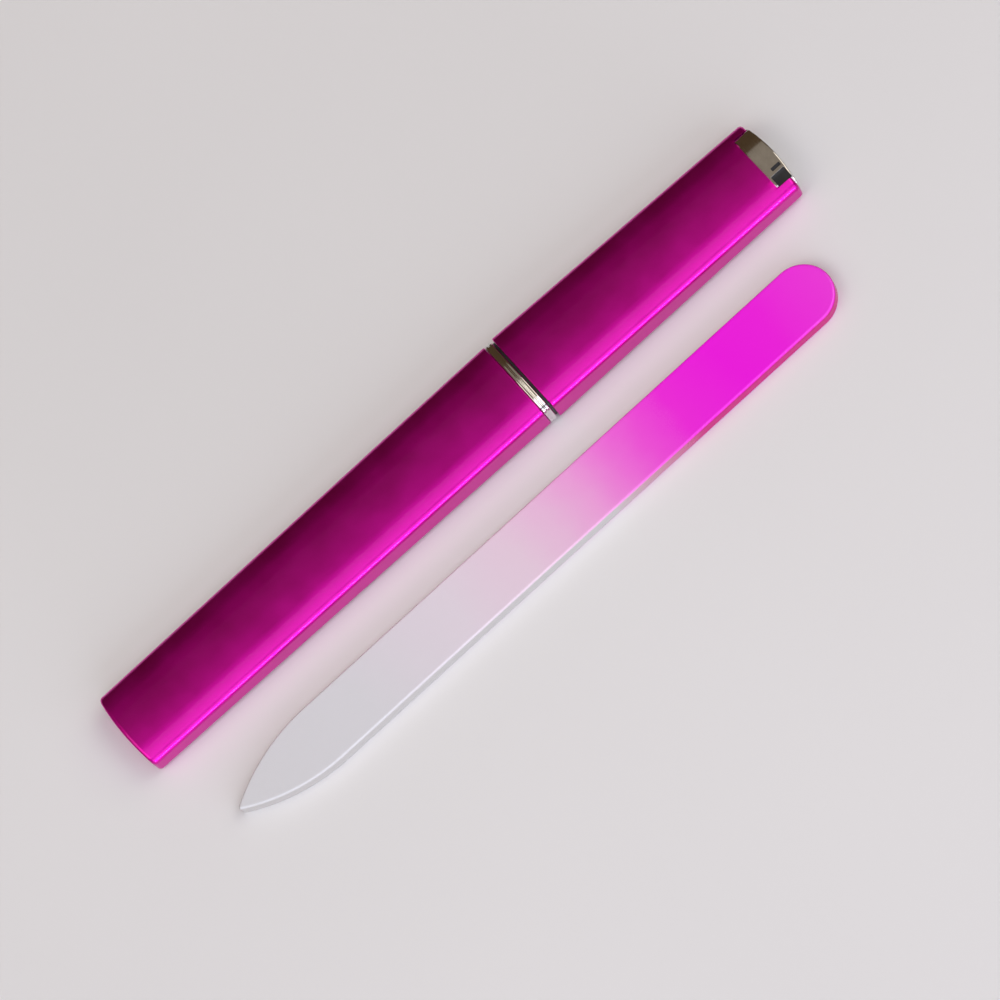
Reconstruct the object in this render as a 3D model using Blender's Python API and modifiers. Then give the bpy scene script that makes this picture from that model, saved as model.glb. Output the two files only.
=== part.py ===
"""A glass nail file lying beside its closed two-part hard case.

Millimetres in the dimensions below, metres in the scene, +Z up. X runs along the case, from its closed end (-X)
to the end of its cap (+X). The file lies on the -Y side, its point towards -X. Everything rests on z = 0.
"""

import math

import bmesh
import bpy
from mathutils import Matrix, Vector

MM = 0.001

# File
FILE_LENGTH = 140.0
FILE_WIDTH = 12.0
FILE_THICKNESS = 3.0
FILE_EDGE_RADIUS = 0.55
POINT_SIDE_RADIUS = 38.0
POINT_TIP_RADIUS = 0.5

# Case, outside: a crowned flat tube, widest and thickest where its halves meet
CASE_LENGTH = 154.8
END_WIDTH = 16.7
END_HEIGHT = 6.7
BODY_MOUTH_WIDTH = 17.45
BODY_MOUTH_HEIGHT = 8.3
CAP_MOUTH_WIDTH = 17.75
CAP_MOUTH_HEIGHT = 8.45
EDGE_RADIUS = 1.8
CROWN_RADIUS = 53.0
WALL = 1.1
CLOSED_END_BULGE = 0.45
END_ROUND_DEPTH = 0.8
END_ROUND_SIDE = 1.0
END_ROUND_TOP = 0.6
LIP_ROUND = 0.2

# Where the halves meet
BAND_LENGTH = 1.5
BAND_ROUND = 0.3
GROOVE_LENGTH = 0.5
GROOVE_DEPTH = 0.12
FLANGE_LENGTH = 0.4
FLANGE_INSET = 0.55
BODY_LENGTH = 93.3
SEAT_GAP = 0.05

# Neck on which the cap is pushed
NECK_WIDTH = 14.8
NECK_HEIGHT = 5.55
NECK_BOTTOM = 1.3
NECK_EDGE_RADIUS = 1.2
NECK_WALL = 0.5
NECK_INSIDE_BODY = 14.0
NECK_OUT = 12.0
NECK_LEAD_IN = 0.6
BEAD_FROM_MOUTH = 5.5
BEAD_LENGTH = 1.6
BEAD_HEIGHT = 0.2

# Cap's end
CROWN_OUT = 1.0
CROWN_BULGE = 0.55
NOTCH_DEPTH = 3.1
NOTCH_WIDTH = 12.5
NOTCH_CORNER = 0.35
PLUG_GAP = 0.15
PLUG_INSIDE = 3.0
PLUG_ROUND = 0.35
PLUG_RECESS = 0.1

# Two shallow recesses in the end plug: a step along the notch's -Y side, and a slot beside it
STEP_LENGTH = 3.0
STEP_WIDTH = 2.2
SLOT_LENGTH = 2.0
SLOT_WIDTH = 0.7
STEP_TO_SLOT = 0.6
RECESS_DEPTH = 1.0
RECESS_TO_CROWN = 0.45
RECESS_CORNER = 0.15

# Pads
PAD_LENGTH = 3.0
PAD_GAP = 0.15
PAD_ROUND = 0.3
POINT_POCKET = (5.0, 2.6, 1.2)
HANDLE_POCKET = (9.0, 2.6, 1.0)

# Where the two lie: across X, from the middle of the case to the middle of the file
SPACING = 23.75
FILE_SHIFT = -0.45
FILE_YAW = math.radians(0.5)

# How finely curves are divided
CROWN_STEPS = 5
EDGE_STEPS = 7
ROUND_STEPS = 4
ARC_STEPS = 14
END_ARC_STEPS = 28

# How far a cutter reaches past the face that it opens
BEYOND = 2.0

CLOSED_END_X = -CASE_LENGTH / 2
BODY_MOUTH_X = CLOSED_END_X + BODY_LENGTH
BAND_X = BODY_MOUTH_X + SEAT_GAP
FLANGE_X = BAND_X + BAND_LENGTH + SEAT_GAP
CAP_MOUTH_X = FLANGE_X + FLANGE_LENGTH + SEAT_GAP
CAP_RIM_X = CASE_LENGTH / 2 - CROWN_OUT
NECK_END_X = CAP_MOUTH_X + NECK_OUT
PLUG_INNER_X = CAP_RIM_X - NOTCH_DEPTH - PLUG_INSIDE

# The file's yaw carries its -Y edge a little further out, so the pair is shifted to stand centred on y = 0.
POINT_REACH = POINT_SIDE_RADIUS - POINT_TIP_RADIUS
POINT_DROP = POINT_SIDE_RADIUS - FILE_WIDTH / 2
POINT_LENGTH = POINT_TIP_RADIUS + math.sqrt(POINT_REACH**2 - POINT_DROP**2)
FILE_REACH = FILE_WIDTH / 2 + math.sin(FILE_YAW) * (FILE_LENGTH / 2 - POINT_LENGTH)
CASE_Y = (SPACING + FILE_REACH - CAP_MOUTH_WIDTH / 2) / 2
FILE_Y = CASE_Y - SPACING


def clear_scene():
    for obj in list(bpy.data.objects):
        bpy.data.objects.remove(obj)


def collection(name, hidden=False):
    made = bpy.data.collections.new(name)
    made.hide_render = hidden
    bpy.context.scene.collection.children.link(made)
    return made


def material(name, colour, metallic, roughness, transmission=0.0):
    made = bpy.data.materials.new(name)
    made.use_nodes = True
    shader = made.node_tree.nodes["Principled BSDF"]
    shader.inputs["Base Color"].default_value = (*colour, 1.0)
    shader.inputs["Metallic"].default_value = metallic
    shader.inputs["Roughness"].default_value = roughness
    shader.inputs["Transmission Weight"].default_value = transmission
    made.diffuse_color = (*colour, 1.0)
    return made


def object_from(name, mesh_builder, place, surface=None):
    mesh = bpy.data.meshes.new(name)
    bmesh.ops.recalc_face_normals(mesh_builder, faces=mesh_builder.faces)
    mesh_builder.to_mesh(mesh)
    mesh_builder.free()
    obj = bpy.data.objects.new(name, mesh)
    place.objects.link(obj)
    if surface is not None:
        mesh.materials.append(surface)
    return obj


def set_origin(obj, origin):
    """Moves the object's origin to a point, given in millimetres, and leaves its shape where it is."""
    shift = Vector(origin) * MM
    obj.data.transform(Matrix.Translation(-shift))
    obj.location = shift


def boolean(obj, operation, other):
    step = obj.modifiers.new(f"{operation.lower()}_{other.name}", "BOOLEAN")
    step.operation = operation
    step.solver = "EXACT"
    step.object = other
    other.display_type = "WIRE"
    return step


class Section:
    """A crowned flat section: an arched top, an even underside, straight sides and four rounded edges."""

    def __init__(self, width, bottom, top, edge, crown=CROWN_RADIUS):
        self.width = width
        self.bottom = bottom
        self.top = top
        self.edge = edge
        self.crown = crown

    def inset(self, side, level):
        edge = max(self.edge - side, 0.15)
        return Section(
            self.width - 2 * side,
            self.bottom + level,
            self.top - level,
            edge,
            self.crown,
        )

    def grown(self, by):
        return Section(
            self.width + 2 * by,
            self.bottom - by,
            self.top + by,
            self.edge + by,
            self.crown,
        )

    def half_top(self):
        """(y, z) along the top, from the middle to the +Y side."""
        straight = self.width / 2 - self.edge
        lean = math.asin(straight / (self.crown - self.edge))
        centre = self.top - self.crown
        points = []
        for i in range(CROWN_STEPS):
            angle = lean * i / CROWN_STEPS
            y = self.crown * math.sin(angle)
            z = centre + self.crown * math.cos(angle)
            points.append((y, z))
        edge_z = centre + (self.crown - self.edge) * math.cos(lean)
        for i in range(EDGE_STEPS + 1):
            angle = lean + (math.pi / 2 - lean) * i / EDGE_STEPS
            y = straight + self.edge * math.sin(angle)
            z = edge_z + self.edge * math.cos(angle)
            points.append((y, z))
        return points

    def underside(self, y):
        past = max(abs(y) - (self.width / 2 - self.edge), 0.0)
        drop = math.sqrt(max(self.edge**2 - past**2, 0.0))
        return self.bottom + self.edge - drop

    def chains(self):
        """The top and the underside as (y, z), both from -Y to +Y and at the same y."""
        half = self.half_top()
        top = [(-y, z) for y, z in reversed(half[1:])] + half
        under = [(y, self.underside(y)) for y, _ in top]
        return top, under


def ring(builder, x, section, bulge=0.0):
    """One ring of a loft. The bulge carries the middle of the ring along X, and leaves its sides where they are."""
    top, under = section.chains()
    made = []
    for y, z in top + under[::-1]:
        along = x + bulge * (1 - (2 * y / section.width) ** 2)
        made.append(builder.verts.new(Vector((along, y + CASE_Y, z)) * MM))
    return made


def close_ring(builder, points):
    """Closes a ring with strips that run from the top to the underside."""
    half = len(points) // 2
    for i in range(half - 1):
        corners = (
            points[i],
            points[i + 1],
            points[-i - 2],
            points[-i - 1],
        )
        builder.faces.new(corners)


def loft(name, stations, place, surface=None):
    """A closed solid through stations, each (x, section, bulge)."""
    builder = bmesh.new()
    rings = [ring(builder, *station) for station in stations]
    for first, second in zip(rings, rings[1:]):
        for i in range(len(first)):
            j = (i + 1) % len(first)
            builder.faces.new((first[i], first[j], second[j], second[i]))
    close_ring(builder, rings[0])
    close_ring(builder, rings[-1])
    return object_from(name, builder, place, surface)


def rounded_end(x, towards, section, depth, side, level, bulge=0.0):
    """Stations of a rounded end, from where the rounding starts to the end face at x."""
    stations = []
    for i in range(ROUND_STEPS + 1):
        angle = math.pi / 2 * i / ROUND_STEPS
        along = x - towards * depth * (1 - math.sin(angle))
        inset = 1 - math.cos(angle)
        rounded = section.inset(side * inset, level * inset)
        stations.append((along, rounded, towards * bulge))
    return stations


def body_section(x):
    """The case body's outer section at x."""
    share = (x - CLOSED_END_X) / BODY_LENGTH
    width = END_WIDTH + (BODY_MOUTH_WIDTH - END_WIDTH) * share
    height = END_HEIGHT + (BODY_MOUTH_HEIGHT - END_HEIGHT) * share
    return Section(width, 0.0, height, EDGE_RADIUS)


def cap_section(x):
    """The cap's outer section at x."""
    share = (x - CAP_MOUTH_X) / (CAP_RIM_X - CAP_MOUTH_X)
    width = CAP_MOUTH_WIDTH + (END_WIDTH - CAP_MOUTH_WIDTH) * share
    height = CAP_MOUTH_HEIGHT + (END_HEIGHT - CAP_MOUTH_HEIGHT) * share
    return Section(width, 0.0, height, EDGE_RADIUS)


def hollow(section):
    return section.inset(WALL, WALL)


def neck_section():
    return Section(NECK_WIDTH, NECK_BOTTOM, NECK_BOTTOM + NECK_HEIGHT, NECK_EDGE_RADIUS)


def body_shell(parts, cutters, surface):
    start = CLOSED_END_X + CLOSED_END_BULGE
    closed_end = rounded_end(
        start,
        -1,
        body_section(start),
        END_ROUND_DEPTH,
        END_ROUND_SIDE,
        END_ROUND_TOP,
        CLOSED_END_BULGE,
    )
    mouth = BODY_MOUTH_X
    lip = rounded_end(mouth, 1, body_section(mouth), LIP_ROUND, LIP_ROUND, LIP_ROUND)
    shell = loft("body_shell", closed_end[::-1] + lip, parts, surface)
    inner_start = start + WALL
    beyond = mouth + BEYOND
    pocket = rounded_end(
        inner_start,
        -1,
        hollow(body_section(inner_start)),
        PAD_ROUND,
        PAD_ROUND,
        PAD_ROUND,
    )
    pocket = pocket[::-1] + [(beyond, hollow(body_section(beyond)), 0.0)]
    boolean(shell, "DIFFERENCE", loft("body_pocket", pocket, cutters))
    return shell


def cap_shell(parts, cutters, surface):
    mouth = rounded_end(
        CAP_MOUTH_X, -1, cap_section(CAP_MOUTH_X), LIP_ROUND, LIP_ROUND, LIP_ROUND
    )
    rim = rounded_end(
        CAP_RIM_X,
        1,
        cap_section(CAP_RIM_X),
        END_ROUND_DEPTH,
        END_ROUND_TOP,
        END_ROUND_TOP,
    )
    shell = loft("cap_shell", mouth[::-1] + rim, parts, surface)
    ends = (CAP_MOUTH_X - BEYOND, CAP_RIM_X + BEYOND)
    bore = [(x, hollow(cap_section(x)), 0.0) for x in ends]
    boolean(shell, "DIFFERENCE", end_notch(cutters))
    boolean(shell, "DIFFERENCE", loft("cap_bore", bore, cutters))
    return shell


def end_notch(cutters):
    """The notch through the cap's top and underside, open at the rim."""
    low = Vector((CAP_RIM_X - NOTCH_DEPTH, CASE_Y - NOTCH_WIDTH / 2, -BEYOND))
    high = Vector((CAP_RIM_X + BEYOND, CASE_Y + NOTCH_WIDTH / 2, END_HEIGHT + BEYOND))
    return upright_block("end_notch_cutter", low, high, NOTCH_CORNER, cutters)


def upright_block(name, low, high, corner, cutters):
    """A box between two corners, its four upright edges rounded."""
    builder = bmesh.new()
    bmesh.ops.create_cube(builder, size=1.0)
    bmesh.ops.scale(builder, vec=high - low, verts=builder.verts)
    bmesh.ops.translate(builder, vec=(low + high) / 2, verts=builder.verts)
    upright = [edge for edge in builder.edges if is_upright(edge)]
    bmesh.ops.bevel(
        builder,
        geom=upright,
        offset=corner,
        segments=ROUND_STEPS,
        profile=0.5,
        affect="EDGES",
    )
    bmesh.ops.scale(builder, vec=(MM, MM, MM), verts=builder.verts)
    return object_from(name, builder, cutters)


def is_upright(edge):
    along = edge.verts[1].co - edge.verts[0].co
    return abs(along.z) > 0.9 * along.length


def centre_band(parts, cutters, surface):
    outer = body_section(BODY_MOUTH_X)
    left = rounded_end(BAND_X, -1, outer, BAND_ROUND, BAND_ROUND, BAND_ROUND)
    right = rounded_end(BAND_X + BAND_LENGTH, 1, outer, BAND_ROUND, BAND_ROUND, BAND_ROUND)
    middle = BAND_X + BAND_LENGTH / 2
    groove = [
        (middle - GROOVE_LENGTH / 2, outer, 0.0),
        (middle, outer.inset(GROOVE_DEPTH, GROOVE_DEPTH), 0.0),
        (middle + GROOVE_LENGTH / 2, outer, 0.0),
    ]
    band = loft("centre_band", left[::-1] + groove + right, parts, surface)
    hole = neck_section().grown(SEAT_GAP)
    ends = (BAND_X - BEYOND, BAND_X + BAND_LENGTH + BEYOND)
    bore = [(x, hole, 0.0) for x in ends]
    boolean(band, "DIFFERENCE", loft("band_bore", bore, cutters))
    return band


def neck_sleeve(parts, cutters, surface):
    """The neck, its flange and its grip bead are one moulding."""
    section = neck_section()
    inner_x = BODY_MOUTH_X - NECK_INSIDE_BODY
    tail = rounded_end(inner_x, -1, section, LIP_ROUND, LIP_ROUND, LIP_ROUND)
    nose = rounded_end(
        NECK_END_X, 1, section, 2 * NECK_LEAD_IN, NECK_LEAD_IN / 2, NECK_LEAD_IN / 2
    )
    stations = tail[::-1] + flange_stations(section) + bead_stations(section) + nose
    neck = loft("neck_sleeve", stations, parts, surface)
    bore_section = section.inset(NECK_WALL, NECK_WALL)
    ends = (inner_x - BEYOND, NECK_END_X + BEYOND)
    bore = [(x, bore_section, 0.0) for x in ends]
    boolean(neck, "DIFFERENCE", loft("neck_bore", bore, cutters))
    return neck


def flange_stations(section):
    """The flange that stands between the band and the cap's mouth."""
    outer = body_section(BODY_MOUTH_X).inset(FLANGE_INSET, FLANGE_INSET)
    far_side = FLANGE_X + FLANGE_LENGTH
    return [
        (FLANGE_X, section, 0.0),
        (FLANGE_X, outer, 0.0),
        (far_side, outer, 0.0),
        (far_side, section, 0.0),
    ]


def bead_stations(section):
    """The low bead that grips the inside of the cap."""
    high = section.grown(BEAD_HEIGHT)
    centre = CAP_MOUTH_X + BEAD_FROM_MOUTH
    half = BEAD_LENGTH / 2
    return [
        (centre - half, section, 0.0),
        (centre - half / 3, high, 0.0),
        (centre + half / 3, high, 0.0),
        (centre + half, section, 0.0),
    ]


def cap_end_plug(parts, cutters, surface):
    """The insert that closes the cap: a block inside the shell, and a saddle that fills the notch."""
    rim = cap_section(CAP_RIM_X)
    inside = hollow(rim).inset(PLUG_GAP, PLUG_GAP)
    block = [(PLUG_INNER_X, inside, 0.0)]
    block += rounded_end(
        CAP_RIM_X + CROWN_OUT - CROWN_BULGE,
        1,
        inside,
        PLUG_ROUND,
        PLUG_ROUND,
        PLUG_ROUND,
        CROWN_BULGE,
    )
    plug = loft("cap_end_plug", block, parts, surface)
    saddle_start = CAP_RIM_X - NOTCH_DEPTH + PLUG_GAP
    saddle = Section(
        NOTCH_WIDTH - 2 * PLUG_GAP,
        PLUG_RECESS,
        END_HEIGHT - PLUG_RECESS,
        PLUG_ROUND,
    )
    stations = [(saddle_start, saddle, 0.0)]
    stations += rounded_end(
        CAP_RIM_X + CROWN_OUT - CROWN_BULGE,
        1,
        saddle,
        PLUG_ROUND,
        PLUG_ROUND / 2,
        PLUG_ROUND,
        CROWN_BULGE,
    )
    boolean(plug, "UNION", loft("plug_saddle", stations, cutters))
    cut_recesses(plug, cutters)
    return plug


def cut_recesses(plug, cutters):
    """The step is open towards the notch's -Y side. The slot is closed all round."""
    side = CASE_Y - NOTCH_WIDTH / 2 + PLUG_GAP
    step_side = side + STEP_WIDTH
    slot_side = step_side + STEP_TO_SLOT
    recesses = (
        ("step_cutter", STEP_LENGTH, side - BEYOND, step_side),
        ("slot_cutter", SLOT_LENGTH, slot_side, slot_side + SLOT_WIDTH),
    )
    end = CAP_RIM_X + CROWN_OUT - CROWN_BULGE / 2 - RECESS_TO_CROWN
    floor = END_HEIGHT - PLUG_RECESS - RECESS_DEPTH
    for name, length, near, far in recesses:
        low = Vector((end - length, near, floor))
        high = Vector((end, far, END_HEIGHT + BEYOND))
        cutter = upright_block(name, low, high, RECESS_CORNER, cutters)
        boolean(plug, "DIFFERENCE", cutter)


def pad(name, parts, cutters, surface, end_x, towards, section, pocket):
    """A soft pad that closes one end of the cavity, with a shallow pocket for the end of the file."""
    outer = section.inset(PAD_GAP, PAD_GAP)
    back = rounded_end(end_x, towards, outer, PAD_ROUND, PAD_ROUND, PAD_ROUND)
    face_x = end_x - towards * PAD_LENGTH
    front = rounded_end(face_x, -towards, outer, PAD_ROUND, PAD_ROUND, PAD_ROUND)
    made = loft(name, front[::-1] + back, parts, surface)
    width, height, depth = pocket
    middle = (section.bottom + section.top) / 2
    inner = Section(width, middle - height / 2, middle + height / 2, height / 3)
    ends = (face_x - towards * depth, face_x + towards * depth)
    stations = [(x, inner, 0.0) for x in sorted(ends)]
    boolean(made, "DIFFERENCE", loft(name + "_pocket", stations, cutters))
    return made


def body_pad(parts, cutters, surface):
    end_x = CLOSED_END_X + CLOSED_END_BULGE + WALL + PAD_GAP
    section = hollow(body_section(end_x))
    return pad("body_pad", parts, cutters, surface, end_x, -1, section, POINT_POCKET)


def cap_pad(parts, cutters, surface):
    end_x = PLUG_INNER_X - PAD_GAP
    section = hollow(cap_section(end_x))
    return pad("cap_pad", parts, cutters, surface, end_x, 1, section, HANDLE_POCKET)


def side_arc():
    """One side of the file's point, from its tip to the full width, as (x from the tip, y)."""
    meet = math.asin((POINT_LENGTH - POINT_TIP_RADIUS) / POINT_REACH)
    points = []
    for i in range(ROUND_STEPS):
        angle = (math.pi / 2 - meet) * i / ROUND_STEPS
        x = POINT_TIP_RADIUS - POINT_TIP_RADIUS * math.cos(angle)
        points.append((x, POINT_TIP_RADIUS * math.sin(angle)))
    for i in range(ARC_STEPS + 1):
        angle = meet * (1 - i / ARC_STEPS)
        x = POINT_LENGTH - POINT_SIDE_RADIUS * math.sin(angle)
        y = POINT_SIDE_RADIUS * math.cos(angle) - POINT_DROP
        points.append((x, y))
    return points


def file_outline():
    """The file seen from above, counter-clockwise, centred on the origin."""
    half = FILE_WIDTH / 2
    start = -FILE_LENGTH / 2
    side = side_arc()
    lower = [(start + x, -y) for x, y in side]
    upper = [(start + x, y) for x, y in reversed(side[1:])]
    centre = FILE_LENGTH / 2 - half
    round_end = []
    for i in range(END_ARC_STEPS + 1):
        angle = math.pi * (i / END_ARC_STEPS - 0.5)
        x = centre + half * math.cos(angle)
        round_end.append((x, half * math.sin(angle)))
    return lower + round_end + upper


def glass_file(parts, surface):
    builder = bmesh.new()
    verts = [builder.verts.new((x * MM, y * MM, 0.0)) for x, y in file_outline()]
    base = builder.faces.new(verts)
    raised = bmesh.ops.extrude_face_region(builder, geom=[base])
    top = [item for item in raised["geom"] if isinstance(item, bmesh.types.BMVert)]
    bmesh.ops.translate(builder, vec=(0.0, 0.0, FILE_THICKNESS * MM), verts=top)
    obj = object_from("glass_file", builder, parts, surface)
    rounding = obj.modifiers.new("ground_edges", "BEVEL")
    rounding.width = FILE_EDGE_RADIUS * MM
    rounding.segments = ROUND_STEPS
    rounding.limit_method = "ANGLE"
    rounding.angle_limit = math.radians(60)
    obj.location = Vector((FILE_SHIFT, FILE_Y, 0.0)) * MM
    obj.rotation_euler.z = FILE_YAW
    return obj


def place_origins(cap_pieces, case_pieces):
    """The cap's pieces slide along X, so their origins lie on the line of that slide; the body's do the same."""
    axis_z = NECK_BOTTOM + NECK_HEIGHT / 2
    for obj in cap_pieces:
        set_origin(obj, (CAP_MOUTH_X, CASE_Y, axis_z))
    for obj in case_pieces:
        set_origin(obj, (BODY_MOUTH_X, CASE_Y, axis_z))


def main():
    clear_scene()
    parts = collection("nail_file_with_case")
    cutters = collection("cutters", hidden=True)

    lacquer = material("magenta_lacquer", (0.62, 0.01, 0.33), 0.6, 0.28)
    chrome = material("chrome_plate", (0.78, 0.78, 0.80), 1.0, 0.12)
    neck_plastic = material("dark_plastic", (0.03, 0.03, 0.035), 0.0, 0.5)
    foam = material("soft_foam", (0.08, 0.08, 0.09), 0.0, 0.9)
    glass = material("dyed_glass", (0.85, 0.55, 0.75), 0.0, 0.4, transmission=0.3)

    glass_file(parts, glass)
    case_pieces = [
        body_shell(parts, cutters, lacquer),
        neck_sleeve(parts, cutters, neck_plastic),
        centre_band(parts, cutters, chrome),
        body_pad(parts, cutters, foam),
    ]
    cap_pieces = [
        cap_shell(parts, cutters, lacquer),
        cap_end_plug(parts, cutters, chrome),
        cap_pad(parts, cutters, foam),
    ]
    place_origins(cap_pieces, case_pieces)


main()
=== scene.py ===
"""The looks of a glass nail file and its closed two-part case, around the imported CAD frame."""

import math

import bmesh
import bpy
from mathutils import Matrix, Vector


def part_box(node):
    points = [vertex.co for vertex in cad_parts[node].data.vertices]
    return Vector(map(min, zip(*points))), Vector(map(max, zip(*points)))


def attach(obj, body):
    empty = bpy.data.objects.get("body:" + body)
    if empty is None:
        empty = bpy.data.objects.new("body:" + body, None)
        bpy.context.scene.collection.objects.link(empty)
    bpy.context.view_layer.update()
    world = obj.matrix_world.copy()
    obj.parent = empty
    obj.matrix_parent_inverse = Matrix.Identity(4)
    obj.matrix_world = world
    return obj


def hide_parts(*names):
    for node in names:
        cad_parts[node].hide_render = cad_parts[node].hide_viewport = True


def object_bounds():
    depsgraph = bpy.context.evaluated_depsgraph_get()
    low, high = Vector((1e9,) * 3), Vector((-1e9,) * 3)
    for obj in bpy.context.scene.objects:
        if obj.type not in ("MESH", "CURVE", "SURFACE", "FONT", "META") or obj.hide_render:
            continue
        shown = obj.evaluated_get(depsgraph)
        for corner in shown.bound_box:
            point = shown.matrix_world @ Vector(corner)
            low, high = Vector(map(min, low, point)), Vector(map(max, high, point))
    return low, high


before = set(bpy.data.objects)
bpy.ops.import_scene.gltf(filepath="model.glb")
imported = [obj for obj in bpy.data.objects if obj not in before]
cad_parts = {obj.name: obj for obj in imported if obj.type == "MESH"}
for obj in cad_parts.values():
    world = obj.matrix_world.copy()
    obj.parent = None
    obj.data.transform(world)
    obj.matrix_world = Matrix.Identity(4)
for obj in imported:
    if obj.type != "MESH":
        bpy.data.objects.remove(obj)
cad_low, cad_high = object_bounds()

MM = 0.001

# The case: what the CAD boxes don't say about its sections, in millimetres
END_WIDTH = 16.7
END_HEIGHT = 6.7
EDGE_RADIUS = 1.8
SMALLEST_EDGE = 0.15
CROWN_RADIUS = 53.0
SHOULDER_RADIUS = 16.0
SHOULDER_LEAN = math.radians(15)
WALL = 1.1
CLOSED_END_BULGE = 0.45
END_ROUND_DEPTH = 0.8
END_ROUND_SIDE = 1.0
END_ROUND_TOP = 0.6
LIP_ROUND = 0.2
POCKET_ROUND = 0.5
BAND_ROUND = 0.3
GROOVE_LENGTH = 0.5
GROOVE_DEPTH = 0.12
FLANGE_INSET = 0.55

# The neck
NECK_WIDTH = 14.8
NECK_HEIGHT = 5.55
NECK_BOTTOM = 1.3
NECK_EDGE_RADIUS = 1.2
NECK_WALL = 0.5
NECK_LEAD_IN = 0.6
BEAD_FROM_MOUTH = 5.5
BEAD_LENGTH = 1.6
BEAD_HEIGHT = 0.2
HOLE_GAP = 0.05

# The cap's end
CROWN_OUT = 1.0
CROWN_BULGE = 0.55
NOTCH_DEPTH = 3.1
NOTCH_WIDTH = 12.5
NOTCH_CORNER = 0.35
NOTCH_EDGE = 0.1
PLUG_GAP = 0.15
PLUG_ROUND = 0.35
PLUG_RECESS = 0.1
PLUG_EDGE = 0.08
STEP_LENGTH = 3.0
STEP_WIDTH = 2.2
SLOT_LENGTH = 2.0
SLOT_WIDTH = 0.7
STEP_TO_SLOT = 0.6
RECESS_DEPTH = 1.0
RECESS_TO_CROWN = 0.45
RECESS_CORNER = 0.15
# Painted shade: the thickness of the dark floors in the plug's recesses
SHADE_FLOOR_THICKNESS = 0.35

# The pads
PAD_ROUND = 0.3
POINT_POCKET = (5.0, 2.6, 1.2)
HANDLE_POCKET = (9.0, 2.6, 1.0)

# The file
FILE_LENGTH = 140.0
FILE_WIDTH = 12.0
FILE_EDGE_RADIUS = 0.55
POINT_SIDE_RADIUS = 38.0
POINT_TIP_RADIUS = 0.5
FILE_YAW = math.radians(0.5)

# How finely curves are divided
CROWN_STEPS = 6
SHOULDER_STEPS = 8
EDGE_STEPS = 14
ROUND_STEPS = 6
SIDE_STATIONS = 16
ARC_STEPS = 48
END_ARC_STEPS = 72
SHARP = math.radians(38)
SHARP_ON_FOAM = math.radians(70)

# How much of an edge's length has to be height for it to count as upright
UPRIGHT_SHARE = 0.9

# How far a cutter reaches past the face that it opens
BEYOND = 2.0

# The view
ELEVATION = math.radians(67.6)
ROLL = math.radians(41.87)
VIEW_WIDTH = 0.1767
LENS = 190.0
SENSOR = 36.0
AIM_DOWN = 0.0034

# The stage: metres, and linear colours of the lights
FLOOR_SIZE = 6.0
PANEL_WIDTH = 2.6
WINDOW_WIDTH = 1.1
OVERHEAD_HEIGHT = 1.25
UPRIGHT_AWAY = 1.4
END_PANEL_AWAY = 1.1
END_PANEL_UP = 1.1
END_PANEL_SIZE = (1.2, 1.2)
COOL = (0.83, 0.86, 1.0)
WARM = (1.0, 0.93, 0.80)
AMBER = (1.0, 0.60, 0.30)


class Section:
    """A flat section: a crowned top, an even underside, straight sides and rounded edges."""

    def __init__(self, width, bottom, top, edge, shoulders=True):
        self.width = width
        self.bottom = bottom
        self.top = top
        self.edge = edge
        self.shoulders = shoulders

    def inset(self, side, level):
        edge = max(self.edge - side, SMALLEST_EDGE)
        return Section(
            self.width - 2 * side,
            self.bottom + level,
            self.top - level,
            edge,
            self.shoulders,
        )

    def grown(self, by):
        return Section(
            self.width + 2 * by,
            self.bottom - by,
            self.top + by,
            self.edge + by,
            self.shoulders,
        )

    def arcs(self):
        """Half the top as arcs, each (radius, start angle, end angle, steps).

        They are the crown, the shoulder where there is one, and the edge.
        """
        straight = self.width / 2 - self.edge
        right_angle = math.pi / 2
        if not self.shoulders:
            lean = math.asin(straight / (CROWN_RADIUS - self.edge))
            crown = (CROWN_RADIUS, 0.0, lean, CROWN_STEPS)
            return crown, (self.edge, lean, right_angle, EDGE_STEPS)
        room = straight / (SHOULDER_RADIUS - self.edge)
        shoulder_end = min(SHOULDER_LEAN, math.asin(min(room, 1.0)))
        reach = straight - (SHOULDER_RADIUS - self.edge) * math.sin(shoulder_end)
        lean = math.asin(reach / (CROWN_RADIUS - SHOULDER_RADIUS))
        return (
            (CROWN_RADIUS, 0.0, lean, CROWN_STEPS),
            (SHOULDER_RADIUS, lean, shoulder_end, SHOULDER_STEPS),
            (self.edge, shoulder_end, right_angle, EDGE_STEPS),
        )

    def half_top(self):
        """(y, z) along the top, from the middle to the +Y side."""
        points = [(0.0, self.top)]
        for radius, start, end, steps in self.arcs():
            y, z = points[-1]
            for i in range(1, steps + 1):
                angle = start + (end - start) * i / steps
                across = radius * (math.sin(angle) - math.sin(start))
                down = radius * (math.cos(start) - math.cos(angle))
                points.append((y + across, z - down))
        return points

    def underside(self, y):
        past = max(abs(y) - (self.width / 2 - self.edge), 0.0)
        drop = math.sqrt(max(self.edge**2 - past**2, 0.0))
        return self.bottom + self.edge - drop

    def chains(self):
        """The top and the underside as (y, z), both from -Y to +Y and at the same y."""
        half = self.half_top()
        top = [(-y, z) for y, z in reversed(half[1:])] + half
        under = [(y, self.underside(y)) for y, _ in top]
        return top, under


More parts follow.
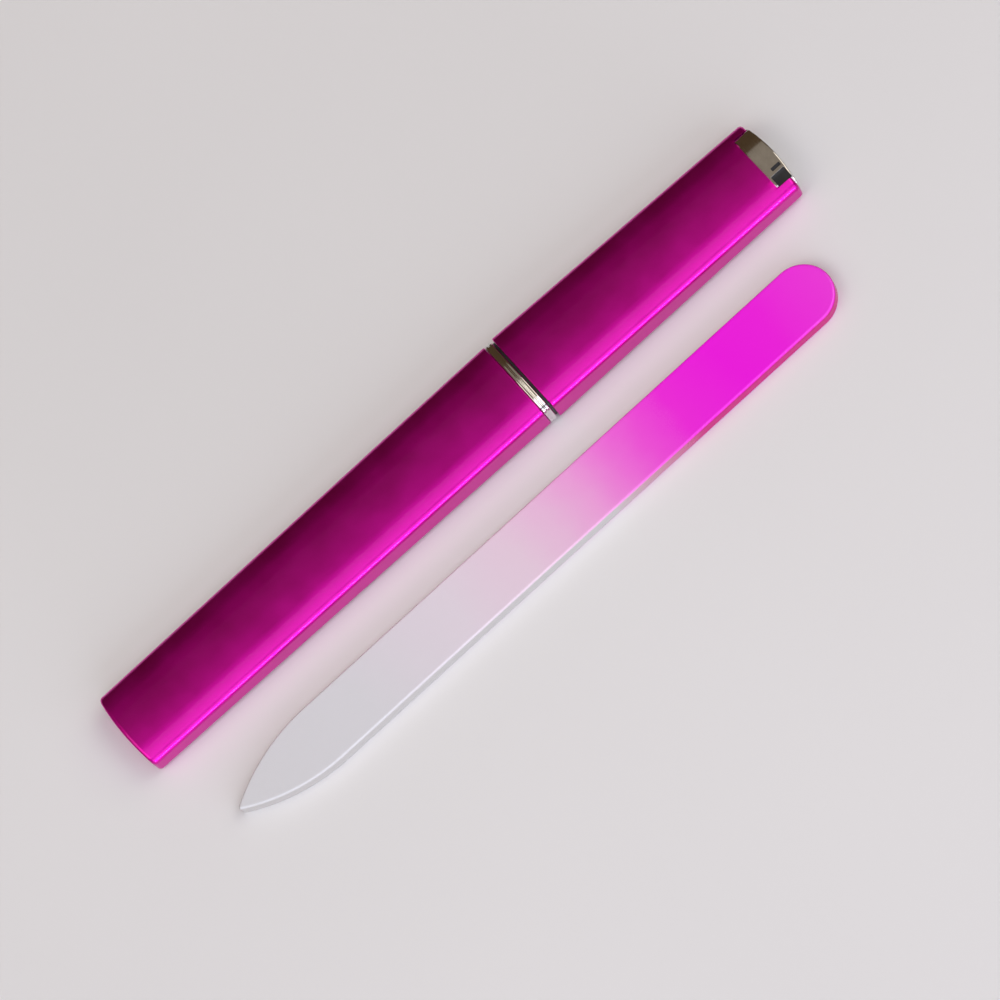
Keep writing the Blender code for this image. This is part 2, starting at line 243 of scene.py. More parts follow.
class Case:
    """Where the case's pieces are, read from the CAD boxes, in millimetres."""

    def __init__(self):
        body_low, body_high = self.box("body_shell")
        cap_low, cap_high = self.box("cap_shell")
        self.y = (body_low.y + body_high.y) / 2
        self.closed_end = body_low.x
        self.body_mouth = body_high.x
        self.body_width = body_high.y - body_low.y
        self.body_height = body_high.z
        self.cap_mouth = cap_low.x
        self.cap_rim = cap_high.x
        self.cap_width = cap_high.y - cap_low.y
        self.cap_height = cap_high.z

    @staticmethod
    def box(node):
        low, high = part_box(node)
        return low / MM, high / MM

    def body_section(self, x):
        share = (x - self.closed_end) / (self.body_mouth - self.closed_end)
        width = END_WIDTH + (self.body_width - END_WIDTH) * share
        height = END_HEIGHT + (self.body_height - END_HEIGHT) * share
        return Section(width, 0.0, height, EDGE_RADIUS)

    def cap_section(self, x):
        share = (x - self.cap_mouth) / (self.cap_rim - self.cap_mouth)
        width = self.cap_width + (END_WIDTH - self.cap_width) * share
        height = self.cap_height + (END_HEIGHT - self.cap_height) * share
        return Section(width, 0.0, height, EDGE_RADIUS)

    @staticmethod
    def hollow(section):
        return section.inset(WALL, WALL)

    @staticmethod
    def neck_section():
        return Section(
            NECK_WIDTH, NECK_BOTTOM, NECK_BOTTOM + NECK_HEIGHT, NECK_EDGE_RADIUS
        )


CASE = Case()


# ---------------------------------------------------------------- meshes


def object_from(name, builder):
    mesh = bpy.data.meshes.new(name)
    bmesh.ops.recalc_face_normals(builder, faces=builder.faces)
    builder.to_mesh(mesh)
    builder.free()
    obj = bpy.data.objects.new(name, mesh)
    bpy.context.scene.collection.objects.link(obj)
    return obj


def ring(builder, x, section, bulge=0.0):
    """One ring of a loft. The bulge carries its middle along X and leaves its sides in place."""
    top, under = section.chains()
    made = []
    for y, z in top + under[::-1]:
        along = x + bulge * (1 - (2 * y / section.width) ** 2)
        made.append(builder.verts.new(Vector((along, y + CASE.y, z)) * MM))
    return made


def close_ring(builder, points):
    """Closes a ring with strips that run from the top to the underside."""
    half = len(points) // 2
    for i in range(half - 1):
        corners = (points[i], points[i + 1], points[-i - 2], points[-i - 1])
        builder.faces.new(corners)


def loft(name, stations, looped=False):
    """A closed surface through stations, each (x, section, bulge).

    Looped, the last station joins the first, as in a tube with a wall.
    """
    builder = bmesh.new()
    rings = [ring(builder, *station) for station in stations]
    pairs = list(zip(rings, rings[1:]))
    if looped:
        pairs.append((rings[-1], rings[0]))
    for first, second in pairs:
        for i in range(len(first)):
            j = (i + 1) % len(first)
            builder.faces.new((first[i], first[j], second[j], second[i]))
    if not looped:
        close_ring(builder, rings[0])
        close_ring(builder, rings[-1])
    return object_from(name, builder)


def rounded_end(x, towards, section, depth, side, level, bulge=0.0):
    """Stations of a rounded end, from where the rounding starts to the end face at x."""
    stations = []
    for i in range(ROUND_STEPS + 1):
        angle = math.pi / 2 * i / ROUND_STEPS
        along = x - towards * depth * (1 - math.sin(angle))
        inset = 1 - math.cos(angle)
        rounded = section.inset(side * inset, level * inset)
        stations.append((along, rounded, towards * bulge))
    return stations


def between(start, end, section_at):
    """Even stations from start to end, with the ends left out."""
    stations = []
    for i in range(1, SIDE_STATIONS):
        x = start + (end - start) * i / SIDE_STATIONS
        stations.append((x, section_at(x), 0.0))
    return stations


def boolean(obj, operation, other):
    step = obj.modifiers.new(operation.lower(), "BOOLEAN")
    step.operation = operation
    step.solver = "EXACT"
    step.object = other
    return step


def bevel(obj, width, segments=3, angle=50.0):
    step = obj.modifiers.new("edges", "BEVEL")
    step.width = width * MM
    step.segments = segments
    step.limit_method = "ANGLE"
    step.angle_limit = math.radians(angle)
    step.use_clamp_overlap = True
    return step


def applied(obj, *helpers):
    """Makes the modifiers' result the object's own mesh, and removes the helpers."""
    graph = bpy.context.evaluated_depsgraph_get()
    mesh = bpy.data.meshes.new_from_object(obj.evaluated_get(graph), depsgraph=graph)
    obj.modifiers.clear()
    obj.data = mesh
    for helper in helpers:
        bpy.data.objects.remove(helper)
    return obj


def smooth(obj, sharp=SHARP):
    """Smooth faces, with the edges that are really sharp kept so."""
    builder = bmesh.new()
    builder.from_mesh(obj.data)
    for face in builder.faces:
        face.smooth = True
    for edge in builder.edges:
        edge.smooth = edge.calc_face_angle(0.0) < sharp
    builder.to_mesh(obj.data)
    builder.free()
    weighted = obj.modifiers.new("normals", "WEIGHTED_NORMAL")
    weighted.keep_sharp = True
    weighted.weight = 80
    return obj


def add(obj, body, material):
    obj.data.materials.clear()
    obj.data.materials.append(material)
    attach(obj, body)
    return obj


def put(obj, body, node, material):
    """The piece takes a CAD node's place, on its body and in its material slot."""
    add(obj, body, material)
    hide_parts(node)
    return obj


# ---------------------------------------------------------------- pieces


def body_shell():
    start = CASE.closed_end + CLOSED_END_BULGE
    mouth = CASE.body_mouth
    closed_end = rounded_end(
        start,
        -1,
        CASE.body_section(start),
        END_ROUND_DEPTH,
        END_ROUND_SIDE,
        END_ROUND_TOP,
        CLOSED_END_BULGE,
    )
    sides = between(start + END_ROUND_DEPTH, mouth - LIP_ROUND, CASE.body_section)
    lip = rounded_end(
        mouth, 1, CASE.body_section(mouth), LIP_ROUND, LIP_ROUND, LIP_ROUND
    )
    inner_start = start + WALL
    inner_mouth = [(mouth, CASE.hollow(CASE.body_section(mouth)), 0.0)]
    pocket = rounded_end(
        inner_start,
        -1,
        CASE.hollow(CASE.body_section(inner_start)),
        POCKET_ROUND,
        POCKET_ROUND,
        POCKET_ROUND,
    )
    stations = closed_end[::-1] + sides + lip + inner_mouth + pocket
    return smooth(loft("shell_of_body", stations))


def end_notch():
    """The shape of the notch through the cap's top and underside, open at the rim."""
    low = Vector((CASE.cap_rim - NOTCH_DEPTH, CASE.y - NOTCH_WIDTH / 2, -BEYOND))
    high = Vector((CASE.cap_rim + BEYOND, CASE.y + NOTCH_WIDTH / 2, END_HEIGHT + BEYOND))
    return upright_block("end_notch", low, high, NOTCH_CORNER)


def upright_block(name, low, high, corner):
    """A box between two corners, its four upright edges rounded."""
    builder = bmesh.new()
    bmesh.ops.create_cube(builder, size=1.0)
    bmesh.ops.scale(builder, vec=high - low, verts=builder.verts)
    bmesh.ops.translate(builder, vec=(low + high) / 2, verts=builder.verts)
    upright = [edge for edge in builder.edges if is_upright(edge)]
    bmesh.ops.bevel(
        builder,
        geom=upright,
        offset=corner,
        segments=ROUND_STEPS,
        profile=0.5,
        affect="EDGES",
    )
    bmesh.ops.scale(builder, vec=(MM, MM, MM), verts=builder.verts)
    return object_from(name, builder)


def is_upright(edge):
    along = edge.verts[1].co - edge.verts[0].co
    return abs(along.z) > UPRIGHT_SHARE * along.length


def cap_shell():
    mouth, rim = CASE.cap_mouth, CASE.cap_rim
    mouth_lip = rounded_end(
        mouth, -1, CASE.cap_section(mouth), LIP_ROUND, LIP_ROUND, LIP_ROUND
    )
    sides = between(mouth + LIP_ROUND, rim - END_ROUND_DEPTH, CASE.cap_section)
    rim_end = rounded_end(
        rim, 1, CASE.cap_section(rim), END_ROUND_DEPTH, END_ROUND_TOP, END_ROUND_TOP
    )
    outside = mouth_lip[::-1] + sides + rim_end
    inside = [(x, CASE.hollow(CASE.cap_section(x)), 0.0) for x in (rim, mouth)]
    shell = loft("shell_of_cap", outside + inside, looped=True)
    notch = end_notch()
    boolean(shell, "DIFFERENCE", notch)
    applied(shell, notch)
    bevel(shell, NOTCH_EDGE)
    return smooth(applied(shell))


def centre_band():
    low, high = Case.box("centre_band")
    outer = CASE.body_section(CASE.body_mouth)
    left = rounded_end(low.x, -1, outer, BAND_ROUND, BAND_ROUND, BAND_ROUND)
    right = rounded_end(high.x, 1, outer, BAND_ROUND, BAND_ROUND, BAND_ROUND)
    hole = CASE.neck_section().grown(HOLE_GAP)
    bore = [(high.x, hole, 0.0), (low.x, hole, 0.0)]
    stations = left[::-1] + groove((low.x + high.x) / 2, outer) + right + bore
    return smooth(loft("bright_band", stations, looped=True))


def groove(middle, outer):
    """The shallow groove round the band."""
    stations = []
    for i in range(2 * ROUND_STEPS + 1):
        share = i / ROUND_STEPS - 1
        depth = GROOVE_DEPTH * math.cos(math.pi / 2 * share) ** 2
        stations.append((middle + GROOVE_LENGTH / 2 * share, outer.inset(depth, depth), 0.0))
    return stations


def neck_sleeve():
    low, high = Case.box("neck_sleeve")
    band_high = Case.box("centre_band")[1]
    section = CASE.neck_section()
    bore = section.inset(NECK_WALL, NECK_WALL)
    tail = rounded_end(low.x, -1, section, LIP_ROUND, LIP_ROUND, LIP_ROUND)
    nose = rounded_end(
        high.x, 1, section, 2 * NECK_LEAD_IN, NECK_LEAD_IN / 2, NECK_LEAD_IN / 2
    )
    flange = CASE.body_section(CASE.body_mouth).inset(FLANGE_INSET, FLANGE_INSET)
    flange_start = band_high.x + HOLE_GAP
    flange_end = CASE.cap_mouth - HOLE_GAP
    middle = [
        (flange_start, section, 0.0),
        (flange_start, flange, 0.0),
        (flange_end, flange, 0.0),
        (flange_end, section, 0.0),
    ]
    inside = [(high.x, bore, 0.0), (low.x, bore, 0.0)]
    stations = tail[::-1] + middle + bead(section) + nose + inside
    return smooth(loft("neck", stations, looped=True))


def bead(section):
    """The low bead that grips the inside of the cap."""
    centre = CASE.cap_mouth + BEAD_FROM_MOUTH
    stations = []
    for i in range(2 * ROUND_STEPS + 1):
        angle = math.pi * i / (2 * ROUND_STEPS)
        x = centre - BEAD_LENGTH / 2 * math.cos(angle)
        stations.append((x, section.grown(BEAD_HEIGHT * math.sin(angle)), 0.0))
    return stations


def cap_end_plug():
    low, high = Case.box("cap_end_plug")
    crown_start = high.x - CROWN_BULGE
    inside = CASE.hollow(CASE.cap_section(CASE.cap_rim)).inset(PLUG_GAP, PLUG_GAP)
    block = [(low.x, inside, 0.0)]
    block += rounded_end(
        crown_start, 1, inside, PLUG_ROUND, PLUG_ROUND, PLUG_ROUND, CROWN_BULGE
    )
    plug = loft("bright_end_plug", block)
    saddle_width = NOTCH_WIDTH - 2 * PLUG_GAP
    saddle_top = END_HEIGHT - PLUG_RECESS
    saddle = Section(saddle_width, PLUG_RECESS, saddle_top, PLUG_ROUND, shoulders=False)
    stations = [(CASE.cap_rim - NOTCH_DEPTH + PLUG_GAP, saddle, 0.0)]
    stations += rounded_end(
        crown_start, 1, saddle, PLUG_ROUND, PLUG_ROUND / 2, PLUG_ROUND, CROWN_BULGE
    )
    helper = loft("saddle", stations)
    boolean(plug, "UNION", helper)
    applied(plug, helper)
    for name, low, high in plug_recesses():
        cutter = upright_block(name, low, high + Vector((0, 0, BEYOND)), RECESS_CORNER)
        boolean(plug, "DIFFERENCE", cutter)
        applied(plug, cutter)
    bevel(plug, PLUG_EDGE)
    return smooth(applied(plug))


def plug_recesses():
    """The step, open to the notch's -Y side, and the slot beside it, as (name, low, high)."""
    side = CASE.y - NOTCH_WIDTH / 2 + PLUG_GAP
    step_side = side + STEP_WIDTH
    slot_side = step_side + STEP_TO_SLOT
    spans = (
        ("step", STEP_LENGTH, side - BEYOND, step_side),
        ("slot", SLOT_LENGTH, slot_side, slot_side + SLOT_WIDTH),
    )
    end = CASE.cap_rim + CROWN_OUT - CROWN_BULGE / 2 - RECESS_TO_CROWN
    top = END_HEIGHT - PLUG_RECESS
    recesses = []
    for name, length, near, far in spans:
        low = Vector((end - length, near, top - RECESS_DEPTH))
        recesses.append((name, low, Vector((end, far, top))))
    return recesses


def plug_shade_floors():
    """Dark floors in the two recesses, painted shade and dark reflection there."""
    floor_pieces = []
    for name, low, high in plug_recesses():
        low.y = max(low.y, CASE.y - NOTCH_WIDTH / 2 + PLUG_GAP)
        top = Vector((high.x, high.y, low.z + SHADE_FLOOR_THICKNESS))
        floor_pieces.append(smooth(upright_block(name + "_floor", low, top, RECESS_CORNER)))
    return floor_pieces


def pad(name, node, towards, section_at, pocket):
    """A soft pad, with a shallow pocket for the end of the file."""
    low, high = Case.box(node)
    end = high.x if towards > 0 else low.x
    face = low.x if towards > 0 else high.x
    outer = section_at(end)
    back = rounded_end(end, towards, outer, PAD_ROUND, PAD_ROUND, PAD_ROUND)
    front = rounded_end(face, -towards, outer, PAD_ROUND, PAD_ROUND, PAD_ROUND)
    width, height, depth = pocket
    middle = (outer.bottom + outer.top) / 2
    mouth = Section(width, middle - height / 2, middle + height / 2, height / 3)
    hollow = rounded_end(
        face + towards * depth, towards, mouth, depth / 2, depth / 2, depth / 2
    )
    stations = back[::-1] + front + [(face, mouth, 0.0)] + hollow
    return smooth(loft(name, stations), SHARP_ON_FOAM)


def body_pad():
    def section_at(x):
        return CASE.hollow(CASE.body_section(x)).inset(PLUG_GAP, PLUG_GAP)

    return pad("foam_in_body", "body_pad", -1, section_at, POINT_POCKET)


def cap_pad():
    def section_at(x):
        return CASE.hollow(CASE.cap_section(x)).inset(PLUG_GAP, PLUG_GAP)

    return pad("foam_in_cap", "cap_pad", 1, section_at, HANDLE_POCKET)


def side_arc():
    """One side of the file's point, from its tip to the full width, as (x from the tip, y)."""
    half = FILE_WIDTH / 2
    reach = POINT_SIDE_RADIUS - POINT_TIP_RADIUS
    below = POINT_SIDE_RADIUS - half
    length = POINT_TIP_RADIUS + math.sqrt(reach**2 - below**2)
    meet = math.asin((length - POINT_TIP_RADIUS) / reach)
    points = []
    for i in range(ROUND_STEPS):
        angle = (math.pi / 2 - meet) * i / ROUND_STEPS
        x = POINT_TIP_RADIUS - POINT_TIP_RADIUS * math.cos(angle)
        points.append((x, POINT_TIP_RADIUS * math.sin(angle)))
    for i in range(ARC_STEPS + 1):
        angle = meet * (1 - i / ARC_STEPS)
        x = length - POINT_SIDE_RADIUS * math.sin(angle)
        y = POINT_SIDE_RADIUS * math.cos(angle) - below
        points.append((x, y))
    return points


def file_outline():
    """The file seen from above, counter-clockwise, centred on the origin."""
    half = FILE_WIDTH / 2
    start = -FILE_LENGTH / 2
    side = side_arc()
    lower = [(start + x, -y) for x, y in side]
    upper = [(start + x, y) for x, y in reversed(side[1:])]
    centre = FILE_LENGTH / 2 - half
    round_end = []
    for i in range(END_ARC_STEPS + 1):
        angle = math.pi * (i / END_ARC_STEPS - 0.5)
        x = centre + half * math.cos(angle)
        round_end.append((x, half * math.sin(angle)))
    return lower + round_end + upper


def glass_file():
    low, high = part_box("glass_file")
    builder = bmesh.new()
    verts = [builder.verts.new((x * MM, y * MM, 0.0)) for x, y in file_outline()]
    base = builder.faces.new(verts)
    raised = bmesh.ops.extrude_face_region(builder, geom=[base])
    top = [item for item in raised["geom"] if isinstance(item, bmesh.types.BMVert)]
    bmesh.ops.translate(builder, vec=(0.0, 0.0, high.z - low.z), verts=top)
    bmesh.ops.rotate(
        builder, cent=(0, 0, 0), matrix=Matrix.Rotation(FILE_YAW, 3, "Z"), verts=builder.verts
    )
    xs = [vert.co.x for vert in builder.verts]
    ys = [vert.co.y for vert in builder.verts]
    made_centre = Vector(((min(xs) + max(xs)) / 2, (min(ys) + max(ys)) / 2, 0.0))
    cad_centre = Vector(((low.x + high.x) / 2, (low.y + high.y) / 2, low.z))
    bmesh.ops.translate(builder, vec=cad_centre - made_centre, verts=builder.verts)
    obj = object_from("file_of_glass", builder)
    bevel(obj, FILE_EDGE_RADIUS, segments=6, angle=60.0)
    return smooth(applied(obj))


# ---------------------------------------------------------------- materials


class Nodes:
    """A short hand for building one material's nodes."""

    def __init__(self, name):
        self.material = bpy.data.materials.new(name)
        self.material.use_nodes = True
        self.tree = self.material.node_tree
        self.shader = self.tree.nodes["Principled BSDF"]

    def set(self, **values):
        for name, value in values.items():
            self.shader.inputs[name.replace("_", " ")].default_value = value

    def add(self, kind, **settings):
        node = self.tree.nodes.new(kind)
        for name, value in settings.items():
            setattr(node, name, value)
        return node

    def link(self, source, target):
        self.tree.links.new(source, target)

    def place(self, scale=(1.0, 1.0, 1.0)):
        """Coordinates in the object's own frame, in metres, stretched by a scale."""
        coords = self.add("ShaderNodeTexCoord")
        mapping = self.add("ShaderNodeMapping")
        mapping.inputs["Scale"].default_value = scale
        self.link(coords.outputs["Object"], mapping.inputs["Vector"])
        return mapping.outputs["Vector"]

    def noise(self, vector, scale, detail=3.0, rough=0.5):
        node = self.add("ShaderNodeTexNoise")
        node.inputs["Scale"].default_value = scale
        node.inputs["Detail"].default_value = detail
        node.inputs["Roughness"].default_value = rough
        self.link(vector, node.inputs["Vector"])
        return node.outputs["Fac"]

    def cells(self, vector, scale):
        node = self.add("ShaderNodeTexVoronoi")
        node.inputs["Scale"].default_value = scale
        self.link(vector, node.inputs["Vector"])
        return node.outputs["Distance"]

    def range(self, value, low, high, from_low=0.3, from_high=0.7):
        node = self.add("ShaderNodeMapRange")
        node.inputs["From Min"].default_value = from_low
        node.inputs["From Max"].default_value = from_high
        node.inputs["To Min"].default_value = low
        node.inputs["To Max"].default_value = high
        self.link(value, node.inputs["Value"])
        return node.outputs["Result"]

    def math(self, operation, first, second):
        node = self.add("ShaderNodeMath", operation=operation)
        for socket, value in zip(node.inputs, (first, second)):
            if isinstance(value, (int, float)):
                socket.default_value = value
            else:
                self.link(value, socket)
        return node.outputs["Value"]

    def ramp(self, value, stops):
        node = self.add("ShaderNodeValToRGB")
        elements = node.color_ramp.elements
        elements[0].position, elements[1].position = stops[0][0], stops[-1][0]
        elements[0].color = (*stops[0][1], 1.0)
        elements[1].color = (*stops[-1][1], 1.0)
        for position, colour in stops[1:-1]:
            elements.new(position).color = (*colour, 1.0)
        self.link(value, node.inputs["Fac"])
        return node.outputs["Color"]

    def mix(self, share, first, second):
        node = self.add("ShaderNodeMix", data_type="RGBA")
        sockets = (node.inputs[0], node.inputs[6], node.inputs[7])
        for socket, value in zip(sockets, (share, first, second)):
            if isinstance(value, tuple):
                socket.default_value = (*value, 1.0)
            else:
                self.link(value, socket)
        return node.outputs[2]

    def bump(self, height, distance, strength):
        node = self.add("ShaderNodeBump")
        node.inputs["Distance"].default_value = distance
        node.inputs["Strength"].default_value = strength
        self.link(height, node.inputs["Height"])
        return node.outputs["Normal"]

    def to(self, name, output):
        self.link(output, self.shader.inputs[name])

    def tones(self, value, first, second):
        """A base colour between two colours, as the value goes from low to high."""
        share = self.range(value, low=0.0, high=1.0)
        self.to("Base Color", self.mix(share, first, second))


def lacquer():
    """Metallic magenta paint with fine flakes and hairline marks, under a thin clear coat."""
    nodes = Nodes("magenta_lacquer")
    nodes.set(Metallic=1.0, Coat_Weight=0.26, Coat_Roughness=0.06, Coat_IOR=1.5)
    plain = nodes.place()
    clouds = nodes.noise(plain, scale=140.0, detail=4.0)
    flakes = nodes.cells(plain, scale=6500.0)
    cloudy = nodes.range(clouds, low=0.0, high=1.0)
    paint = nodes.mix(cloudy, (0.65, 0.003, 0.33), (0.71, 0.005, 0.38))
    fleck = nodes.math("MULTIPLY", flakes, 0.25)
    nodes.to("Base Color", nodes.mix(fleck, paint, (0.82, 0.015, 0.48)))

    along_case = nodes.place((90.0, 6000.0, 6000.0))
    marks = nodes.noise(along_case, scale=1.0, detail=2.0)
    marked = nodes.range(marks, low=0.0, high=0.05, from_low=0.6, from_high=0.8)
    nodes.to("Roughness", nodes.math("ADD", nodes.range(clouds, low=0.32, high=0.38), marked))
    nodes.to("Normal", nodes.bump(flakes, distance=0.00001, strength=0.25))
    peel = nodes.noise(plain, scale=500.0, detail=2.0)
    nodes.to("Coat Normal", nodes.bump(peel, distance=0.00002, strength=0.3))
    return nodes.material


def bright_plate():
    """Bright plating with fine scratches."""
    nodes = Nodes("bright_plate")
    nodes.set(Metallic=1.0)
    clouds = nodes.noise(nodes.place(), scale=600.0, detail=4.0)
    nodes.tones(clouds, (0.72, 0.71, 0.70), (0.84, 0.83, 0.82))
    across_case = nodes.place((9000.0, 400.0, 9000.0))
    scratches = nodes.noise(across_case, scale=1.0, detail=2.0)
    rough = nodes.range(scratches, low=0.06, high=0.16, from_low=0.45, from_high=0.8)
    nodes.to("Roughness", rough)
    nodes.to("Normal", nodes.bump(scratches, distance=0.000003, strength=0.3))
    return nodes.material


def neck_plastic():
    """Dark moulded plastic, rubbed by the cap."""
    nodes = Nodes("neck_plastic")
    plain = nodes.place()
    clouds = nodes.noise(plain, scale=300.0, detail=5.0)
    nodes.tones(clouds, (0.012, 0.012, 0.013), (0.028, 0.027, 0.028))
    along_case = nodes.place((150.0, 5000.0, 5000.0))
    rubs = nodes.noise(along_case, scale=1.0, detail=2.0)
    nodes.to("Roughness", nodes.range(rubs, low=0.32, high=0.55))
    grain = nodes.noise(plain, scale=6000.0, detail=2.0)
    nodes.to("Normal", nodes.bump(grain, distance=0.00002, strength=0.25))
    return nodes.material


def soft_foam():
    """Open foam, darker in its cells."""
    nodes = Nodes("soft_foam")
    plain = nodes.place()
    cells = nodes.cells(plain, scale=2600.0)
    deep = nodes.range(cells, low=0.0, high=1.0, from_low=0.0, from_high=0.7)
    nodes.to("Base Color", nodes.mix(deep, (0.11, 0.11, 0.12), (0.035, 0.035, 0.04)))
    clouds = nodes.noise(plain, scale=900.0)
    nodes.to("Roughness", nodes.range(clouds, low=0.85, high=0.98))
    nodes.to("Normal", nodes.bump(cells, distance=0.00015, strength=0.8))
    return nodes.material


# Along the file, from its point to its round end: frosted white, a blush, then the full dye
DYE = (
    (0.00, (0.71, 0.715, 0.735)),
    (0.20, (0.735, 0.735, 0.765)),
    (0.36, (0.81, 0.735, 0.81)),
    (0.47, (0.86, 0.67, 0.80)),
    (0.54, (0.89, 0.56, 0.79)),
    (0.59, (0.93, 0.40, 0.78)),
    (0.645, (0.96, 0.22, 0.78)),
    (0.69, (0.97, 0.09, 0.78)),
    (0.745, (0.97, 0.022, 0.80)),
    (0.83, (0.97, 0.004, 0.84)),
    (0.90, (0.97, 0.010, 0.82)),
    (1.00, (0.97, 0.045, 0.80)),
)
# Painted shade: the file's upright edges are darker than its faces, both in the dye and in the
# frost
DYE_SHADE_AT_EDGE = (0.52, 0.002, 0.17)
FROST_SHADE_AT_EDGE = (0.53, 0.51, 0.49)


def dyed_glass():
    """Glass, etched over its pointed half, and clear over a magenta dye at its handle, with
    painted shade on its upright edges.
    """
    low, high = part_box("glass_file")
    nodes = Nodes("dyed_glass")
    nodes.set(IOR=1.5, Specular_IOR_Level=0.2, Coat_IOR=1.5, Coat_Roughness=0.05)
    plain = nodes.place()
    place = nodes.add("ShaderNodeSeparateXYZ")
    nodes.link(plain, place.inputs["Vector"])
    drift = nodes.noise(plain, scale=70.0, detail=3.0)
    soft_edge = nodes.range(drift, low=-0.012, high=0.012)
    share = nodes.range(place.outputs["X"], low=0.0, high=1.0, from_low=low.x, from_high=high.x)
    along = nodes.math("ADD", share, soft_edge)
    dye = nodes.ramp(along, DYE)
    dyed = nodes.range(along, low=0.0, high=1.0, from_low=0.60, from_high=0.76)

    side = ground_side(nodes)
    # Painted shade on the upright edges: a darker dye and a darker frost there
    edge_shade_tone = nodes.mix(dyed, FROST_SHADE_AT_EDGE, DYE_SHADE_AT_EDGE)
    nodes.to("Base Color", nodes.mix(side, dye, edge_shade_tone))
    gloss = nodes.range(side, low=0.8, high=0.0, from_low=0.0, from_high=0.4)
    nodes.to("Coat Weight", nodes.math("MULTIPLY", dyed, gloss))

    etch = nodes.noise(plain, scale=4500.0, detail=3.0, rough=0.65)
    rough = nodes.add("ShaderNodeMix", data_type="FLOAT")
    nodes.link(dyed, rough.inputs[0])
    nodes.link(nodes.range(etch, low=0.50, high=0.72), rough.inputs[2])
    nodes.link(nodes.range(etch, low=0.16, high=0.22), rough.inputs[3])
    nodes.to("Roughness", rough.outputs[0])
    left = nodes.range(dyed, low=1.0, high=0.05, from_low=0.0, from_high=1.0)
    depth = nodes.math("MULTIPLY", etch, left)
    nodes.to("Normal", nodes.bump(depth, distance=0.00004, strength=0.5))
    return nodes.material


def ground_side(nodes):
    """1 on the upright ground edges, 0 on the flat faces. It places the painted edge shade and
    the lighter coat on the edges.
    """
    shape = nodes.add("ShaderNodeNewGeometry")
    facing = nodes.add("ShaderNodeSeparateXYZ")
    nodes.link(shape.outputs["Normal"], facing.inputs["Vector"])
    level = nodes.math("ABSOLUTE", facing.outputs["Z"], 0.0)
    return nodes.range(level, low=1.0, high=0.0, from_low=0.25, from_high=0.85)


def pale_floor():
    nodes = Nodes("pale_floor")
    nodes.set(Roughness=0.75, Specular_IOR_Level=0.2)
    clouds = nodes.noise(nodes.place(), scale=6.0, detail=2.0)
    nodes.tones(clouds, (0.79, 0.785, 0.78), (0.82, 0.815, 0.81))
    return nodes.material


# ---------------------------------------------------------------- stage


def floor():
    bpy.ops.mesh.primitive_plane_add(size=FLOOR_SIZE, location=(0.0, 0.0, cad_low.z))
    obj = bpy.context.object
    obj.name = "floor"
    obj.data.materials.append(pale_floor())


def panel(name, centre, aim, size, radiance, colour):
    """A soft rectangular light of an even radiance, that points at a place."""
    light = bpy.data.lights.new(name, "AREA")
    light.shape = "RECTANGLE"
    light.size, light.size_y = size
    light.energy = radiance * math.pi * size[0] * size[1]
    light.color = colour
    obj = bpy.data.objects.new(name, light)
    bpy.context.scene.collection.objects.link(obj)
    obj.location = centre
    turn = (Vector(aim) - Vector(centre)).to_track_quat("-Z", "Y")
    obj.rotation_euler = turn.to_euler()
    obj.visible_camera = False
    return obj


def overhead(name, near, far, radiance, colour):
    """A level panel above the table, from near to far along Y."""
    middle = (near + far) / 2
    centre = (0.0, middle, OVERHEAD_HEIGHT)
    panel(name, centre, (0.0, middle, 0.0), (PANEL_WIDTH, far - near), radiance, colour)


def upright(name, low, high, radiance, width):
    """An upright panel on the file's side of the table, from low to high along Z."""
    middle = (low + high) / 2
    centre = (0.0, -UPRIGHT_AWAY, middle)
    panel(name, centre, (0.0, 0.0, middle), (width, high - low), radiance, COOL)


def surroundings(colour, strength):
    world = bpy.data.worlds.new("surroundings")
    world.use_nodes = True
    background = world.node_tree.nodes["Background"]
    background.inputs["Color"].default_value = (*colour, 1.0)
    background.inputs["Strength"].default_value = strength
    bpy.context.scene.world = world


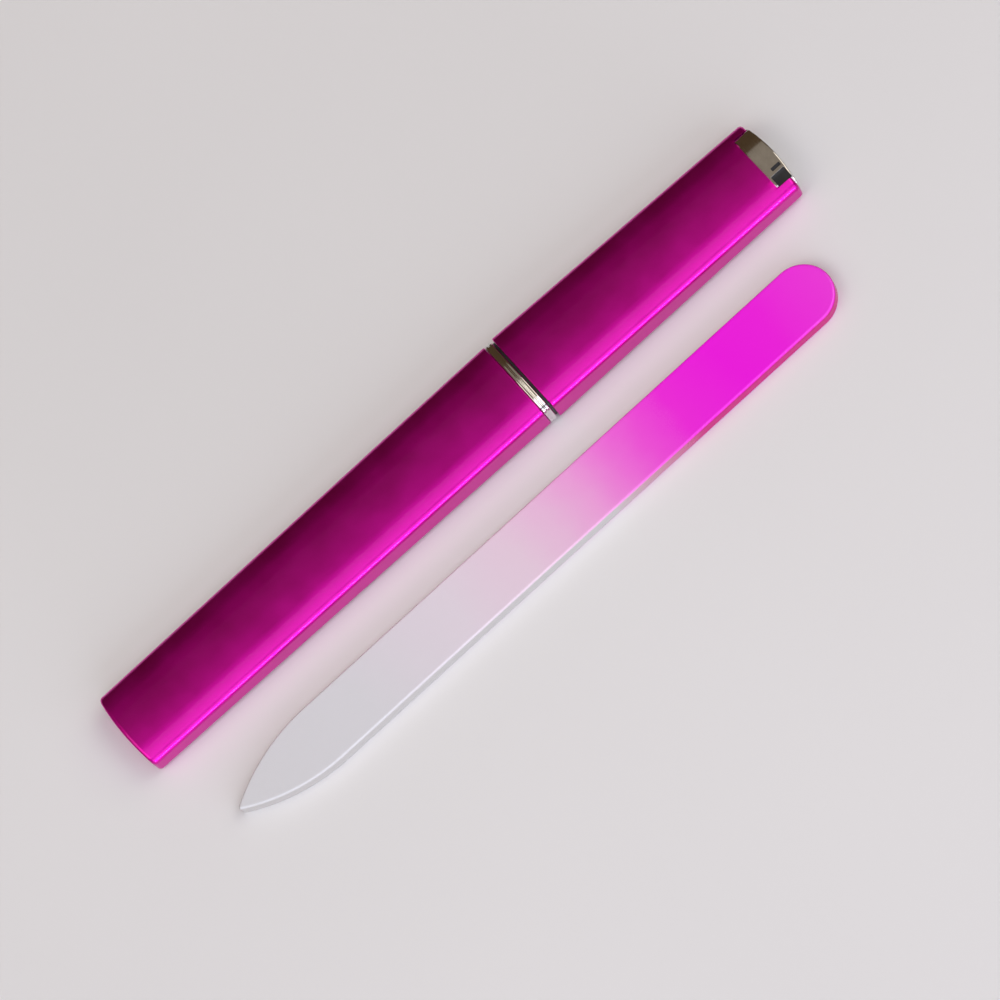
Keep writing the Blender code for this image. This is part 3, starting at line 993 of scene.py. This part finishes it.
def lights():
    """Cool light from the file's side, warm from the ends, and little from the case's side."""
    overhead("overhead_panel", near=-1.05, far=0.11, radiance=1.36, colour=COOL)
    overhead("dim_panel", near=0.11, far=0.70, radiance=0.18, colour=WARM)
    upright("side_panel", low=0.16, high=1.25, radiance=1.6, width=PANEL_WIDTH)
    upright("low_window", low=0.02, high=0.16, radiance=14.0, width=WINDOW_WIDTH)
    for side in (-1, 1):
        centre = (side * END_PANEL_AWAY, 0.0, END_PANEL_UP)
        panel("end_panel", centre, (0.0, 0.0, 0.0), END_PANEL_SIZE, radiance=1.3, colour=WARM)
    surroundings(AMBER, strength=0.07)


def camera():
    """Looks down from the file's side, turned so that the case's +X end is at the upper right."""
    up = Vector((0.0, math.sin(ELEVATION), math.cos(ELEVATION)))
    back = Vector((0.0, -math.cos(ELEVATION), math.sin(ELEVATION)))
    across = Vector((1.0, 0.0, 0.0))
    right = across * math.cos(ROLL) - up * math.sin(ROLL)
    top = across * math.sin(ROLL) + up * math.cos(ROLL)
    aim = (cad_low + cad_high) / 2 - up * AIM_DOWN
    data = bpy.data.cameras.new("camera")
    data.lens = LENS
    data.sensor_width = SENSOR
    data.clip_start = 0.01
    obj = bpy.data.objects.new("camera", data)
    bpy.context.scene.collection.objects.link(obj)
    turn = Matrix((right, top, back)).transposed()
    distance = VIEW_WIDTH * LENS / SENSOR
    obj.matrix_world = Matrix.Translation(aim + back * distance) @ turn.to_4x4()
    bpy.context.scene.camera = obj


def main():
    camera()
    lights()
    floor()
    paint, plate, plastic, foam = lacquer(), bright_plate(), neck_plastic(), soft_foam()
    put(body_shell(), "case_body", "body_shell", paint)
    put(neck_sleeve(), "case_body", "neck_sleeve", plastic)
    put(centre_band(), "case_body", "centre_band", plate)
    put(cap_shell(), "cap", "cap_shell", paint)
    put(cap_end_plug(), "cap", "cap_end_plug", plate)
    # Painted shade: dark plastic floors in the plug's recesses
    for dark_floor in plug_shade_floors():
        add(dark_floor, "cap", plastic)
    put(glass_file(), "file", "glass_file", dyed_glass())
    put(body_pad(), "case_body", "body_pad", foam)
    put(cap_pad(), "cap", "cap_pad", foam)
    bpy.context.scene.view_settings.view_transform = "Standard"


main()
